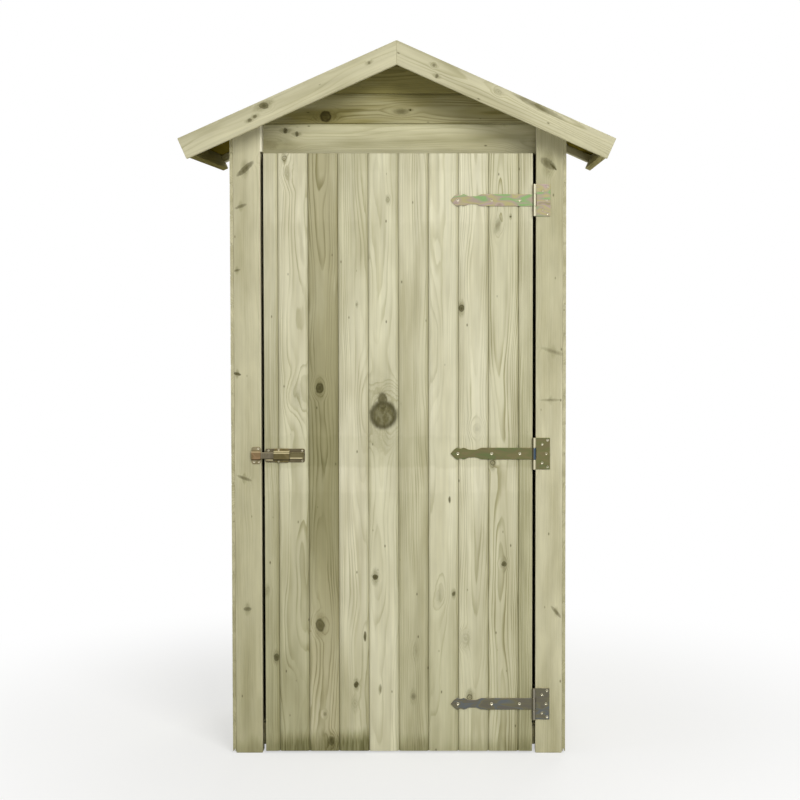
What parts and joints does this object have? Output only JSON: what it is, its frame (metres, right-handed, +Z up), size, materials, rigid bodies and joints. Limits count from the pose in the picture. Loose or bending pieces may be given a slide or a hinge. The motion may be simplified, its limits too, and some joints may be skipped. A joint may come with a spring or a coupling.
{
  "type": "garden storage cabinet",
  "caption": "Tall narrow timber garden storage cabinet with a hinged board door, a slide bolt and a saddle roof.",
  "frame": {"origin": "on the ground, at the middle of the roof's width and depth", "axes": "+Z up, -Y out of the door side, +X to the right seen from the door side"},
  "size_m": [1.054, 0.62, 1.7451],
  "materials": {
    "frame_pine": "planed, pressure treated, green-grey",
    "board_pine": "planed, pressure treated, green-grey",
    "door_pine": "planed, pressure treated, green-grey, weathered darker at the foot",
    "roof_pine": "planed, pressure treated, bare",
    "yellow_zinc": "yellow-passivated zinc, dulled",
    "bolt_steel": "yellow-passivated zinc, worn dark"
  },
  "bodies": {
    "cabinet": {"left_front_post": "frame_pine", "right_front_post": "frame_pine", "left_rear_post": "frame_pine", "right_rear_post": "frame_pine", "left_side_wall": "board_pine", "right_side_wall": "board_pine", "rear_wall": "board_pine", "front_gable": "board_pine", "rear_gable": "board_pine", "threshold_rail": "frame_pine", "rear_bottom_rail": "frame_pine", "left_bottom_rail": "frame_pine", "right_bottom_rail": "frame_pine", "floor_bearer": "frame_pine", "floor": "board_pine", "left_top_rail": "frame_pine", "right_top_rail": "frame_pine", "left_roof_panel": "roof_pine", "right_roof_panel": "roof_pine", "left_front_batten": "frame_pine", "right_front_batten": "frame_pine", "left_rear_batten": "frame_pine", "right_rear_batten": "frame_pine", "left_barge_board": "frame_pine", "right_barge_board": "frame_pine", "left_eave_board": "frame_pine", "right_eave_board": "frame_pine", "top_hinge_plate": "yellow_zinc", "middle_hinge_plate": "yellow_zinc", "bottom_hinge_plate": "yellow_zinc", "bolt_keep": "yellow_zinc"},
    "door": {"door_leaf": "door_pine", "top_ledge": "door_pine", "middle_ledge": "door_pine", "bottom_ledge": "door_pine", "upper_brace": "door_pine", "lower_brace": "door_pine", "top_hinge_strap": "yellow_zinc", "middle_hinge_strap": "yellow_zinc", "bottom_hinge_strap": "yellow_zinc", "bolt_base": "yellow_zinc"},
    "bolt": {"bolt_bar": "bolt_steel"}
  },
  "joints": [
    {"name": "door_hinge", "type": "hinge", "parent": "cabinet", "child": "door", "pos_m": [0.333, -0.2495, 0.742], "axis": [0, 0, 1], "range_deg": [0, 135]},
    {"name": "bolt_slide", "type": "slide", "parent": "door", "child": "bolt", "axis": [1, 0, 0], "range_m": [-0.016, 0.02]}
  ]
}
